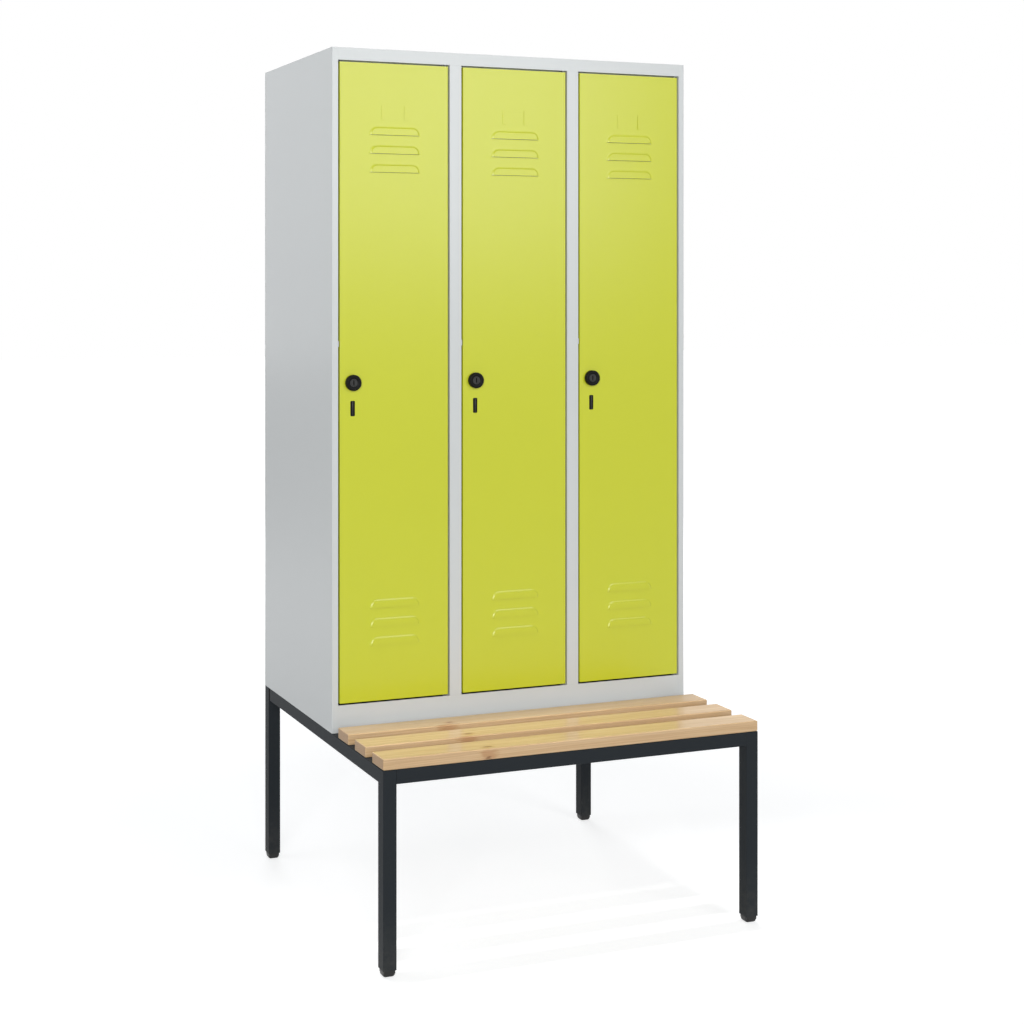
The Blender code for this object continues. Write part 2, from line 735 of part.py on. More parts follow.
def build_coat_rail(i, name):
    """Round tube across the compartment, with a disc at each end against the wall."""
    left, right = inner_walls(i)
    half = (right - left) / 2 - SEAT_GAP
    bore = RAIL_RADIUS - RAIL_WALL
    inner = half - RAIL_END
    profile = [
        (bore, half),
        (RAIL_END_RADIUS, half),
        (RAIL_END_RADIUS, inner),
        (RAIL_RADIUS, inner),
        (RAIL_RADIUS, -inner),
        (RAIL_END_RADIUS, -inner),
        (RAIL_END_RADIUS, -half),
        (bore, -half),
    ]
    mesh = turned(f"coat_rail_{name}", profile, 20, closed=True)
    part(
        f"coat_rail_{name}",
        mesh,
        ZINC,
        location=((left + right) / 2, RAIL_Y, RAIL_Z),
        rotation=(0.0, math.pi / 2, 0.0),
    )


def hook_outline():
    """Anchor-shaped coat hook seen from the side: a ring for the rail, a stem and two upturned prongs."""
    ring = RAIL_RADIUS + PLAY + HOOK_METAL
    half = HOOK_METAL / 2
    throat = HOOK_THROAT
    outside = throat + HOOK_METAL
    middle = half + throat
    low = -ring - HOOK_STEM
    lean = math.degrees(math.asin(half / ring))
    crossing = math.degrees(math.acos(middle / outside))
    right = arc((middle, low), throat, 180.0, 360.0, 8)
    right += arc((middle + throat + half, low), half, 180.0, 0.0, 4)[1:-1]
    right += arc((middle, low), outside, 360.0, 180.0 + crossing, 8)
    left = [(-u, v) for u, v in reversed(right[:-1])]
    return arc((0.0, 0.0), ring, 270.0 - lean, -90.0 + lean, 16) + right + left


def hook_mesh():
    hole = circle(RAIL_RADIUS + PLAY, 20)
    return moved(plate("coat_hook", hook_outline(), HOOK_THICKNESS, hole), FACING_SIDE)


def build_hooks(i, name, mesh):
    """Two hooks that slide on the coat rail."""
    left, right = inner_walls(i)
    middle = (left + right) / 2
    for side, sign in (("left", -1), ("right", 1)):
        place = (middle + sign * HOOKS_APART / 2, RAIL_Y, RAIL_Z)
        part(f"coat_hook_{name}_{side}", mesh, ZINC, location=place)


def build_buffer(i, name, mesh):
    """Small buffer on the jamb beside the door's free edge."""
    place = (jamb_x(i) + SEAT_GAP, FACE_Y + BUFFER_RECESS, DOOR_BOTTOM + LOCK_HEIGHT + BUFFER_RISE)
    part(f"door_buffer_{name}", mesh, GREY_PLASTIC, location=place)


def buffer_mesh():
    half = BUFFER_HEIGHT / 2
    mesh = box_mesh("door_buffer", ((0.0, 0.0, -half), (BUFFER_THICKNESS, BUFFER_DEPTH, half)))
    return rounded_edges(mesh, lambda a, b: min(a.x, b.x) > TINY, BUFFER_ROUND, 2)


# Hinges


def lower_pin_mesh():
    """Pin standing in the sill rail. Its collar carries the door's lower hinge plate."""
    collar_top = DOOR_GAP + HINGE_PLATE_DROP - SEAT_GAP
    tip = DOOR_GAP + HINGE_PLATE_DROP + HINGE_PLATE + PIN_REACH
    under = -SHEET - SEAT_GAP
    profile = [
        (0.0, tip),
        (PIN_RADIUS, tip),
        (PIN_RADIUS, collar_top),
        (PIN_COLLAR_RADIUS, collar_top),
        (PIN_COLLAR_RADIUS, SEAT_GAP),
        (PIN_RADIUS, SEAT_GAP),
        (PIN_RADIUS, under),
        (PIN_HEAD_RADIUS, under),
        (PIN_HEAD_RADIUS, under - PIN_HEAD),
        (0.0, under - PIN_HEAD),
    ]
    return turned("hinge_pin_lower", profile, 14)


def upper_pin_mesh():
    """Pin hanging in the head rail through the door's upper hinge plate."""
    tip = DOOR_GAP + HINGE_PLATE_DROP + HINGE_PLATE + PIN_REACH
    over = SHEET + SEAT_GAP
    profile = [
        (0.0, over + PIN_HEAD),
        (PIN_HEAD_RADIUS, over + PIN_HEAD),
        (PIN_HEAD_RADIUS, over),
        (PIN_RADIUS, over),
        (PIN_RADIUS, -tip),
        (0.0, -tip),
    ]
    return turned("hinge_pin_upper", profile, 14)


# Doors, drawn in a frame with the hinge axis at x = 0, y = 0 and the lower edge at z = 0


def louvre_ring(shrink, low):
    """Outline of a louvre's hood seen from the front, drawn in by the shrink on its sides and its top."""
    side = LOUVRE_WIDTH / 2 - LOUVRE_CORNER
    top = LOUVRE_HEIGHT - LOUVRE_CORNER
    radius = LOUVRE_CORNER - shrink
    curve = arc((side, top), radius, 0.0, 90.0, 5) + arc((-side, top), radius, 90.0, 180.0, 5)
    return [(side + radius, low), *curve, (-side - radius, low)]


def louvre_block(inset):
    """Raised hood of a louvre, or with an inset the hollow under it. Its lower edge is at the origin.

    A slope rises from the skin to the hood's flat face on both sides and along the top.
    """
    low = -LOUVRE_SLIT if inset else 0.0
    back = THROUGH if inset else SHEET / 2
    levels = [(inset / 2, back)]
    for share in (0.0, 0.5, 1.0):
        levels.append((inset / 2 + share * LOUVRE_SLOPE, inset - share * LOUVRE_DEPTH))
    shape = bmesh.new()
    rings = []
    for shrink, depth in levels:
        rings.append([shape.verts.new((u, depth, v)) for u, v in louvre_ring(shrink, low)])
    for behind, ahead in zip(rings, rings[1:]):
        for i in range(len(behind)):
            shape.faces.new((behind[i - 1], behind[i], ahead[i], ahead[i - 1]))
    shape.faces.new(rings[-1])
    shape.faces.new(rings[0][::-1])
    bmesh.ops.recalc_face_normals(shape, faces=shape.faces)
    return mesh_from(shape, "louvre")


def louvre_places():
    """Middle of the lower edge of each louvre."""
    upper = [DOOR_HEIGHT - UPPER_LOUVRE_DROP - i * LOUVRE_PITCH for i in range(LOUVRES)]
    lower = [LOWER_LOUVRE_RISE + i * LOUVRE_PITCH for i in range(LOUVRES)]
    return [Matrix.Translation((DOOR_MIDDLE, DOOR_FACE, z)) for z in upper + lower]


def louvre_set(inset):
    pattern = louvre_block(inset)
    return [moved(pattern.copy(), place) for place in louvre_places()]


def label_clips():
    """Two raised clips, one at each end of the label."""
    middle = DOOR_HEIGHT - LABEL_DROP
    tall = LABEL_HEIGHT / 2
    clips = []
    for left in (DOOR_MIDDLE - LABEL_WIDTH / 2, DOOR_MIDDLE + LABEL_WIDTH / 2 - CLIP_WIDTH):
        low = (left, DOOR_FACE - CLIP_RAISE, middle - tall)
        clips.append((low, (left + CLIP_WIDTH, DOOR_FACE + SHEET / 2, middle + tall)))
    return box_mesh("label_clips", *clips)


def card_room():
    """Space of the card: a shallow recess in the skin that reaches under both clips."""
    middle = DOOR_HEIGHT - LABEL_DROP
    half = LABEL_WIDTH / 2 - CLIP_WIDTH + CARD_REACH
    tall = LABEL_HEIGHT / 2 - CARD_MARGIN
    low = (DOOR_MIDDLE - half, DOOR_FACE - CARD_SLOT, middle - tall)
    return box_mesh("card_room", (low, (DOOR_MIDDLE + half, DOOR_FACE + CARD_RECESS, middle + tall)))


def door_flanges():
    """Upper and lower flanges, short of the corners, and the hinge plates behind the corners on the right."""
    front = DOOR_FACE + SHEET / 2
    left = DOOR_LEFT + LOCK_SIDE_RELIEF
    right = DOOR_RIGHT - HINGE_SIDE_RELIEF
    inner = right - DOOR_LIP
    side = DOOR_RIGHT - SHEET / 2
    rear = DOOR_REAR - 2 * SHEET
    margin = SHEET / 4
    drop = HINGE_PLATE_DROP
    pairs = []
    for low, high in ((margin, SHEET + margin), (DOOR_HEIGHT - SHEET - margin, DOOR_HEIGHT - margin)):
        pairs.append(((left, front, low), (right, DOOR_REAR, high)))
    for low, high in ((drop, drop + HINGE_PLATE), (DOOR_HEIGHT - drop - HINGE_PLATE, DOOR_HEIGHT - drop)):
        pairs.append(((inner, front, low), (side, rear, high)))
    return box_mesh("flanges", *pairs)


def skin_hole(outline, z):
    """Cutter for a hole in the skin, on the lock's upright."""
    tool = plate("skin_hole", outline, 2 * THROUGH)
    return moved(tool, Matrix.Translation((LOCK_X, DOOR_FACE, z)) @ FACING_FRONT)


def door_mesh():
    """Door skin with folded edges, louvres, label holder and the holes for lock, plug and pins."""
    profile = [
        (DOOR_LEFT + DOOR_LIP, DOOR_REAR),
        (DOOR_LEFT, DOOR_REAR),
        (DOOR_LEFT, DOOR_FACE),
        (DOOR_RIGHT, DOOR_FACE),
        (DOOR_RIGHT, DOOR_REAR),
        (DOOR_RIGHT - DOOR_LIP, DOOR_REAR),
    ]
    mesh = folded_sheet("door", profile, "Z", 0.0, DOOR_HEIGHT)
    mesh = fused(mesh, door_flanges())
    mesh = fused(mesh, joined("raised", [label_clips(), *louvre_set(0.0)]))
    lock = skin_hole(circle(LOCK_BODY_RADIUS + SEAT_GAP, 24), LOCK_HEIGHT)
    slot = skin_hole(slot_outline(0.0), SLOT_Z)
    reach = HINGE_PLATE_DROP + HINGE_PLATE + THROUGH
    bores = [bore_tool(reach, (0.0, 0.0, z)) for z in (0.0, DOOR_HEIGHT)]
    return cut(mesh, joined("openings", [card_room(), lock, slot, *bores, *louvre_set(LOUVRE_WALL)]))


def stiffener_mesh():
    """Hat-shaped channel behind the skin, between the two groups of louvres."""
    front = DOOR_FACE + SHEET + SEAT_GAP
    crest = front + STIFFENER_DEPTH
    half = STIFFENER_CREST / 2
    knee = half + STIFFENER_SLOPE
    foot = knee + STIFFENER_FOOT
    profile = [(-foot, front), (-knee, front), (-half, crest), (half, crest), (knee, front), (foot, front)]
    profile = [(DOOR_MIDDLE + x, y) for x, y in profile]
    lower = LOWER_LOUVRE_RISE + (LOUVRES - 1) * LOUVRE_PITCH + LOUVRE_HEIGHT
    upper = DOOR_HEIGHT - UPPER_LOUVRE_DROP - (LOUVRES - 1) * LOUVRE_PITCH
    middle = (lower + upper) / 2
    return folded_sheet(
        "door_stiffener", profile, "Z", middle - STIFFENER_LENGTH / 2, middle + STIFFENER_LENGTH / 2
    )


# Locks, turned about an axis that points out of the door, with height zero on the door's face


def barrel_face():
    """Height of the barrel's face, just below the foot of the dish in the rosette."""
    return KNOB_HEIGHT - DISH_DEPTH - BARREL_RECESS


def housing_mesh():
    """Fixed round rosette, dished round the barrel, and the lock body behind it, bored for the barrel."""
    wide = BARREL_HEAD_RADIUS + SEAT_GAP
    bore = BARREL_RADIUS + SEAT_GAP
    counterbore = barrel_face() - BARREL_HEAD_LENGTH - SEAT_GAP
    edge = arc((KNOB_RADIUS - KNOB_ROUND, KNOB_HEIGHT - KNOB_ROUND), KNOB_ROUND, 90.0, 0.0, 3)
    profile = [
        (wide, KNOB_HEIGHT - DISH_DEPTH),
        (DISH_RADIUS, KNOB_HEIGHT),
        *edge,
        (KNOB_RADIUS, SEAT_GAP),
        (LOCK_BODY_RADIUS, SEAT_GAP),
        (LOCK_BODY_RADIUS, -LOCK_BODY_LENGTH),
        (bore, -LOCK_BODY_LENGTH),
        (bore, counterbore),
        (wide, counterbore),
    ]
    return turned("lock_housing", profile, 24, closed=True)


def cam_front():
    """Height of the cam's front face, which clears the backs of the door stops."""
    return -(JAMB_DEPTH + SHEET + CAM_CLEARANCE)


def barrel_mesh():
    """Turning barrel: keyhole in its head, and a stud and nut for the cam at its rear end."""
    face = barrel_face()
    shoulder = cam_front() + SEAT_GAP
    nut = cam_front() - CAM_THICKNESS - SEAT_GAP
    profile = [
        (0.0, face),
        (BARREL_HEAD_RADIUS, face),
        (BARREL_HEAD_RADIUS, face - BARREL_HEAD_LENGTH),
        (BARREL_RADIUS, face - BARREL_HEAD_LENGTH),
        (BARREL_RADIUS, shoulder),
        (CAM_STUD_RADIUS, shoulder),
        (CAM_STUD_RADIUS, nut),
        (CAM_NUT_RADIUS, nut),
        (CAM_NUT_RADIUS, nut - CAM_NUT),
        (0.0, nut - CAM_NUT),
    ]
    mesh = turned("lock_cylinder", profile, 24)
    keyhole = plate("keyhole", obround(KEYHOLE_WIDTH, KEYHOLE_LENGTH), 2 * KEYHOLE_DEPTH)
    return cut(mesh, moved(keyhole, Matrix.Translation((0.0, 0.0, face))))


def cam_mesh():
    """Flat cam that hangs down when the lock is open and reaches behind the stop when it is locked."""
    half = CAM_WIDTH / 2
    tip = arc((0.0, half - CAM_REACH), half, 180.0, 360.0, 8)
    outline = tip + arc((0.0, 0.0), half, 0.0, 180.0, 8)
    hole = circle(CAM_STUD_RADIUS + SEAT_GAP, 16)
    mesh = plate("lock_cam", outline, CAM_THICKNESS, hole)
    return moved(mesh, Matrix.Translation((0.0, 0.0, cam_front() - CAM_THICKNESS / 2)))


def plug_mesh():
    """Blanking plug of the slot, with a wide flange behind the skin and an upright rib in front."""
    back = -(SHEET + SEAT_GAP)
    front = -PLUG_RECESS
    depth = back - PLUG_FLANGE
    rib_foot = front - PLUG_RIB_DEPTH
    body = plate("slot_plug", slot_outline(-SEAT_GAP), rib_foot - depth)
    body = moved(body, Matrix.Translation((0.0, 0.0, (rib_foot + depth) / 2)))
    flange = plate("flange", slot_outline(PLUG_RIM), PLUG_FLANGE)
    flange = moved(flange, Matrix.Translation((0.0, 0.0, back - PLUG_FLANGE / 2)))
    rib = plate("rib", obround(PLUG_RIB, SLOT_LENGTH - SLOT_WIDTH), 2 * PLUG_RIB_DEPTH)
    rib = moved(rib, Matrix.Translation((0.0, 0.0, front - PLUG_RIB_DEPTH)))
    return fused(fused(body, flange), rib)


def build_door(i, name, meshes):
    """One door on its hinge axis, with the lock's turning pieces on an axis of their own."""
    x, y = pivot_xy(i)
    hinge = axis_empty(f"door_axis_{name}", None, (x, y, DOOR_BOTTOM))
    part(f"door_{name}", meshes["door"], GREEN_PAINT, hinge)
    part(f"door_stiffener_{name}", meshes["stiffener"], GREEN_PAINT, hinge)
    facing = (math.pi / 2, 0.0, 0.0)
    lock = (LOCK_X, DOOR_FACE, LOCK_HEIGHT)
    part(f"lock_housing_{name}", meshes["housing"], BLACK_PLASTIC, hinge, lock, facing)
    part(f"slot_plug_{name}", meshes["plug"], BLACK_PLASTIC, hinge, (LOCK_X, DOOR_FACE, SLOT_Z), facing)
    turning = axis_empty(f"lock_axis_{name}", hinge, lock)
    part(f"lock_cylinder_{name}", meshes["barrel"], BLACK_PLASTIC, turning, rotation=facing)
    part(f"lock_cam_{name}", meshes["cam"], ZINC, turning, rotation=facing)
    part(f"hinge_pin_lower_{name}", meshes["lower_pin"], ZINC, location=(x, y, SILL_TOP))
    part(f"hinge_pin_upper_{name}", meshes["upper_pin"], ZINC, location=(x, y, HEAD_BOTTOM))


def build_compartments():
    meshes = {
        "door": door_mesh(),
        "stiffener": stiffener_mesh(),
        "housing": housing_mesh(),
        "barrel": barrel_mesh(),
        "cam": cam_mesh(),
        "plug": plug_mesh(),
        "lower_pin": lower_pin_mesh(),
        "upper_pin": upper_pin_mesh(),
    }
    hook = hook_mesh()
    buffer = buffer_mesh()
    for i, name in enumerate(COMPARTMENTS):
        build_shelf(i, name)
        build_coat_rail(i, name)
        build_hooks(i, name, hook)
        build_buffer(i, name, buffer)
        build_door(i, name, meshes)


build_side_frames()
build_cross_rails()
build_feet()
build_slats()
build_side_panels()
build_partitions()
build_front_rails()
build_panels()
build_compartments()
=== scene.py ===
import json
import math

import bmesh
import bpy
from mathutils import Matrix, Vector


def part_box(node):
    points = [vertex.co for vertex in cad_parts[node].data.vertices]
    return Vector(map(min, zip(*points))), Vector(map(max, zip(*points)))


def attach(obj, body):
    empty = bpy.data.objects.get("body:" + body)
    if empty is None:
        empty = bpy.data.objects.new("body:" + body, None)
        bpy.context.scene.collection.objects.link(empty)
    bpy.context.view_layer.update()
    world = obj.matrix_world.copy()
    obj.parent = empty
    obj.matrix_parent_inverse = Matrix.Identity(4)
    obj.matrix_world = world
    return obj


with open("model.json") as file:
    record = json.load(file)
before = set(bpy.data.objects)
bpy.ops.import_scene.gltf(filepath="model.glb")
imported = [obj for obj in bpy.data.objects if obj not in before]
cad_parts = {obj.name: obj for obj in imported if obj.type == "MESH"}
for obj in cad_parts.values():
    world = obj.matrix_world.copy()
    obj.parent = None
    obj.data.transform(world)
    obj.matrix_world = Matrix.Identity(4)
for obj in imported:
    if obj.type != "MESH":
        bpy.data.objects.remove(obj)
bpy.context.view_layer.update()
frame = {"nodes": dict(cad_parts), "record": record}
nodes = frame["nodes"]
record = frame["record"]
COMPARTMENTS = ("left", "centre", "right")
DOORS = [f"door_{name}" for name in COMPARTMENTS]

# Lengths are in metres and powers in watts

# Node tree helpers


class Tree:
    """Short ways to add and join shader or geometry nodes."""

    COLUMN, ROW, ROWS = 180, 120, 5

    def __init__(self, tree):
        self.tree = tree
        self.count = 0

    def node(self, kind, inputs=None, **settings):
        made = self.tree.nodes.new(kind)
        made.location = (self.count * self.COLUMN, -(self.count % self.ROWS) * self.ROW)
        self.count += 1
        for name, value in settings.items():
            setattr(made, name, value)
        for name, value in (inputs or {}).items():
            self.feed(made.inputs[name], value)
        return made

    def feed(self, socket, value):
        if isinstance(value, bpy.types.NodeSocket):
            self.tree.links.new(value, socket)
        else:
            socket.default_value = value

    def math(self, operation, first, second=0.0):
        made = self.node("ShaderNodeMath", {0: first, 1: second}, operation=operation)
        return made.outputs[0]

    def square(self, value):
        return self.math("POWER", value, 2.0)

    def root_of_sum(self, first, second):
        return self.math("SQRT", self.math("ADD", first, second))

    def swing(self, noise, amount):
        """Noise that varies around 0.5 made to vary around 0, times amount."""
        return self.math("MULTIPLY", self.math("SUBTRACT", noise, 0.5), amount)

    def ramp(self, value, low, high, start=0.0, stop=1.0, smooth=False):
        """Value from low..high brought to start..stop and held there."""
        limits = {"From Min": low, "From Max": high, "To Min": start, "To Max": stop}
        made = self.node("ShaderNodeMapRange", {"Value": value, **limits})
        if smooth:
            made.interpolation_type = "SMOOTHSTEP"
        return made.outputs["Result"]

    def mix(self, factor, first, second):
        inputs = {"Factor": factor, "A": first, "B": second}
        return self.node("ShaderNodeMix", inputs, data_type="RGBA").outputs["Result"]

    def tint(self, tone, mask, strength, shade):
        """Tone turned towards shade by strength where mask is 1."""
        return self.mix(self.math("MULTIPLY", mask, strength), tone, shade)

    def place(self, scale=(1.0, 1.0, 1.0), offset=(0.0, 0.0, 0.0)):
        """The point in the object's own frame, scaled and moved."""
        point = self.node("ShaderNodeTexCoord").outputs["Object"]
        inputs = {"Vector": point, "Scale": scale, "Location": offset}
        return self.node("ShaderNodeMapping", inputs).outputs["Vector"]

    def parts(self, vector):
        """The X, Y and Z of a vector."""
        return self.node("ShaderNodeSeparateXYZ", {"Vector": vector}).outputs

    def noise(self, vector, scale, detail=2.0, roughness=0.5, distortion=0.0):
        inputs = {
            "Vector": vector,
            "Scale": scale,
            "Detail": detail,
            "Roughness": roughness,
            "Distortion": distortion,
        }
        return self.node("ShaderNodeTexNoise", inputs).outputs["Fac"]

    def bump(self, height, strength, distance, normal=None):
        inputs = {"Height": height, "Strength": strength, "Distance": distance}
        if normal:
            inputs["Normal"] = normal
        return self.node("ShaderNodeBump", inputs).outputs["Normal"]


def colour(red, green, blue):
    return (red, green, blue, 1.0)


def shaded(colour_in, amount):
    return tuple(c * amount for c in colour_in[:3]) + (1.0,)


def new_material(name):
    """A material with one Principled shader, and its Tree."""
    made = bpy.data.materials.new(name)
    made.use_nodes = True
    tree = Tree(made.node_tree)
    return made, tree, made.node_tree.nodes["Principled BSDF"]


# Materials

PEEL_DEPTH = 0.0006
GRIT_DEPTH = 0.0002
WELD_DENT = 0.0003
SPARK_DEPTH = 0.0003
ROLLED_DEPTH = 0.0002
STREAK_DEPTH = 0.0004
FIBRE_DEPTH = 0.00012

RINGS_PER_METRE = 260.0
RING_WOBBLE = 0.030
RING_WAVES = 0.003
PITH_SLOPE = 0.012
KNOT_EDGE = 1.6
LACQUER = 0.37
LACQUER_ON_ENDS = 0.10
LACQUER_ROUGHNESS = 0.07
LACQUER_IOR = 1.5

WOOD = {
    "pale": colour(0.700, 0.483, 0.274),
    "rose": colour(0.625, 0.408, 0.222),
    "deep": colour(0.495, 0.302, 0.148),
    "bright": colour(0.720, 0.540, 0.335),
    "fibre": colour(0.40, 0.24, 0.12),
    "fleck": colour(0.33, 0.185, 0.09),
    "flame": colour(0.46, 0.225, 0.095),
    "knot": colour(0.20, 0.085, 0.035),
    "end": colour(0.560, 0.345, 0.180),
    "end_line": colour(0.400, 0.235, 0.115),
    "pore": colour(0.30, 0.18, 0.10),
}


def spot_welds(tree, columns, pitch, radius):
    """1 inside round marks, else 0. They stand one pitch apart in upright columns of these x."""
    parts = tree.parts(tree.place())
    step = tree.math("FRACT", tree.math("DIVIDE", parts["Z"], pitch))
    rise = tree.square(tree.swing(step, pitch))
    found = None
    for column in columns:
        across = tree.square(tree.math("SUBTRACT", parts["X"], column))
        reach = tree.root_of_sum(across, rise)
        mark = tree.ramp(reach, radius, radius * 0.75, 0.0, 1.0, True)
        found = tree.math("MAXIMUM", found, mark) if found else mark
    return found


def powder_coat(name, base, roughness, specular, peel, grit, dust=None, welds=None):
    """Baked powder paint: slow shade changes, orange peel and fine grit in the surface.

    Dust is the two heights between which it fades out, and its colour. Welds are the columns,
    pitch and radius of the spot welds.
    """
    material, tree, shader = new_material(name)
    point = tree.place()
    slow = tree.noise(point, 2.6, 3.0, 0.55)
    cloud = tree.noise(point, 34.0, 4.0, 0.6)
    speck = tree.noise(point, 1500.0, 2.0, 0.7)
    tone = tree.mix(tree.ramp(slow, 0.3, 0.7), shaded(base, 0.992), shaded(base, 1.008))
    tone = tree.mix(tree.ramp(cloud, 0.35, 0.7, 0.0, 0.5), tone, shaded(base, 0.991))
    tone = tree.mix(tree.ramp(speck, 0.62, 0.8, 0.0, 0.35), tone, shaded(base, 0.92))
    if dust:
        low, high, shade = dust
        height = tree.parts(point)["Z"]
        patch = tree.noise(point, 60.0, 5.0, 0.65)
        near_floor = tree.ramp(height, low, high, 1.0, 0.0, True)
        film = tree.math("MULTIPLY", near_floor, tree.ramp(patch, 0.4, 0.7, 0.3, 1.0))
        tone = tree.tint(tone, film, 0.35, shade)
    if welds:
        marks = spot_welds(tree, *welds)
        tone = tree.tint(tone, marks, 0.5, shaded(base, 0.93))
    tree.feed(shader.inputs["Base Color"], tone)
    matt = tree.ramp(cloud, 0.3, 0.7, roughness - 0.008, roughness + 0.010)
    tree.feed(shader.inputs["Roughness"], matt)
    shader.inputs["Specular IOR Level"].default_value = specular
    skin = tree.noise(point, 330.0, 2.0, 0.45)
    fine = tree.noise(point, 1900.0, 2.0, 0.6)
    normal = tree.bump(skin, peel, PEEL_DEPTH)
    if welds:
        normal = tree.bump(tree.math("SUBTRACT", 1.0, marks), 0.6, WELD_DENT, normal)
    tree.feed(shader.inputs["Normal"], tree.bump(fine, grit, GRIT_DEPTH, normal))
    return material


def knot(tree, centre, radii, grain):
    """1 in the middle of an oval mark and 0 outside it, with an edge that the grain breaks up."""
    scale = tuple(1.0 / r for r in radii)
    offset = tuple(-c / r for c, r in zip(centre, radii))
    inside = tree.node("ShaderNodeVectorMath", {0: tree.place(scale, offset)}, operation="LENGTH")
    reach = tree.math("ADD", inside.outputs["Value"], tree.swing(grain, KNOT_EDGE))
    return tree.ramp(reach, 1.0, 0.25, 0.0, 1.0, True)


def growth_rings(tree, pith, stretched):
    """1 on the dark line of each growth ring and 0 between them.

    The rings run round a line close to X, which passes through the point pith (y, z).
    """
    wobble = tree.noise(stretched, 9.0, 3.0, 0.5)
    waves = tree.noise(stretched, 42.0, 3.0, 0.55)
    parts = tree.parts(tree.place(offset=(0.0, -pith[0], -pith[1])))
    drift = tree.math("MULTIPLY", parts["X"], PITH_SLOPE)
    across = tree.math("ADD", parts["Y"], drift)
    radius = tree.root_of_sum(tree.square(across), tree.square(parts["Z"]))
    radius = tree.math("ADD", radius, tree.swing(wobble, RING_WOBBLE))
    radius = tree.math("ADD", radius, tree.swing(waves, RING_WAVES))
    ring = tree.math("FRACT", tree.math("MULTIPLY", radius, RINGS_PER_METRE))
    late = tree.ramp(ring, 0.55, 1.0)
    early = tree.ramp(ring, 0.0, 0.10, 1.0, 0.0)
    return tree.math("MAXIMUM", late, early)


def beech(name, pith, offset, flames, knots):
    """Lacquered beech with growth rings round the pith, streaks, flecks and end grain.

    Flames are reddish marks and knots dark ones, each with its centre and its half sizes.
    """
    material, tree, shader = new_material(name)

    def drawn_out(share):
        """The point for a pattern that is drawn out along X, with the grain."""
        return tree.place((share, 1.0, 1.0), offset)

    stretched = drawn_out(0.10)
    line = growth_rings(tree, pith, stretched)
    streak = tree.noise(drawn_out(0.016), 260.0, 3.0, 0.6)
    fibre = tree.noise(drawn_out(0.03), 1500.0, 2.0, 0.6)
    broad = tree.noise(stretched, 13.0, 2.0, 0.5)
    tone = tree.mix(tree.ramp(broad, 0.30, 0.72), WOOD["pale"], WOOD["rose"])
    tone = tree.tint(tone, line, 0.42, WOOD["deep"])
    tone = tree.mix(tree.ramp(streak, 0.47, 0.70, 0.0, 0.50), tone, WOOD["deep"])
    tone = tree.mix(tree.ramp(streak, 0.48, 0.28, 0.0, 0.45), tone, WOOD["bright"])
    tone = tree.mix(tree.ramp(fibre, 0.55, 0.80, 0.0, 0.22), tone, WOOD["fibre"])
    cells = tree.node("ShaderNodeTexVoronoi", {"Vector": drawn_out(0.20), "Scale": 620.0}).outputs
    fleck = tree.ramp(cells["Distance"], 0.16, 0.05)
    red = tree.node("ShaderNodeSeparateColor", {"Color": cells["Color"]}).outputs["Red"]
    fleck = tree.math("MULTIPLY", fleck, tree.ramp(red, 0.55, 0.60))
    tone = tree.tint(tone, fleck, 0.50, WOOD["fleck"])
    grain = tree.noise(drawn_out(0.16), 330.0, 3.0, 0.6)
    for marks, strength, shade in ((flames, 0.62, WOOD["flame"]), (knots, 0.80, WOOD["knot"])):
        for centre, radii in marks:
            tone = tree.tint(tone, knot(tree, centre, radii, grain), strength, shade)
    normal_x = tree.parts(tree.node("ShaderNodeNewGeometry").outputs["True Normal"])["X"]
    end_face = tree.ramp(tree.math("ABSOLUTE", normal_x), 0.8, 0.95)
    pores = tree.noise(drawn_out(1.0), 1700.0, 2.0, 0.7)
    end_tone = tree.tint(WOOD["end"], line, 0.45, WOOD["end_line"])
    end_tone = tree.mix(tree.ramp(pores, 0.5, 0.75, 0.0, 0.5), end_tone, WOOD["pore"])
    tree.feed(shader.inputs["Base Color"], tree.mix(end_face, tone, end_tone))
    tree.feed(shader.inputs["Roughness"], tree.ramp(streak, 0.3, 0.8, 0.30, 0.40))
    shader.inputs["Specular IOR Level"].default_value = 0.10
    coat = tree.ramp(end_face, 0.0, 1.0, LACQUER, LACQUER_ON_ENDS)
    tree.feed(shader.inputs["Coat Weight"], coat)
    shader.inputs["Coat Roughness"].default_value = LACQUER_ROUGHNESS
    shader.inputs["Coat IOR"].default_value = LACQUER_IOR
    normal = tree.bump(streak, 0.12, STREAK_DEPTH)
    normal = tree.bump(fibre, 0.15, FIBRE_DEPTH, normal)
    tree.feed(shader.inputs["Normal"], normal)
    return material


def moulded(name, base, roughness, grain, depth, specular):
    """Moulded plastic with a fine spark-eroded grain and faint flow marks."""
    material, tree, shader = new_material(name)
    point = tree.place()
    flow = tree.noise(point, 90.0, 3.0, 0.5, 0.8)
    spark = tree.noise(point, grain, 2.0, 0.6)
    tone = tree.mix(tree.ramp(flow, 0.35, 0.7), shaded(base, 0.88), shaded(base, 1.10))
    tone = tree.mix(tree.ramp(spark, 0.55, 0.8, 0.0, 0.4), tone, shaded(base, 1.45))
    tree.feed(shader.inputs["Base Color"], tone)
    matt = tree.ramp(flow, 0.3, 0.7, roughness - 0.04, roughness + 0.05)
    tree.feed(shader.inputs["Roughness"], matt)
    shader.inputs["Specular IOR Level"].default_value = specular
    tree.feed(shader.inputs["Normal"], tree.bump(spark, depth, SPARK_DEPTH))
    return material


